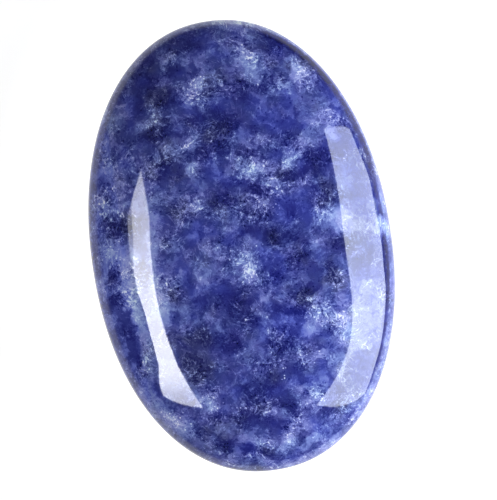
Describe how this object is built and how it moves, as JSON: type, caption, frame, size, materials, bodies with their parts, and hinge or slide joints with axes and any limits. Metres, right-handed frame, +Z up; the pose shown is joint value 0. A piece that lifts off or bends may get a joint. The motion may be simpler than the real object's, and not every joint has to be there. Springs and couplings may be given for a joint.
{
  "type": "palm stone",
  "caption": "Smooth oval palm stone of polished blue and white rock, domed above and below, with a small flat spot to rest on.",
  "frame": {"origin": "middle of the flat spot under the stone, straight below the middle of its outline", "axes": "+Z up out of the crown, +Y along the stone's length towards its slightly narrower end, +X across its width"},
  "size_m": [0.0398, 0.06, 0.015],
  "materials": {
    "polished_rock": "polished"
  },
  "bodies": {
    "root": {"stone": "polished_rock"}
  },
  "joints": []
}
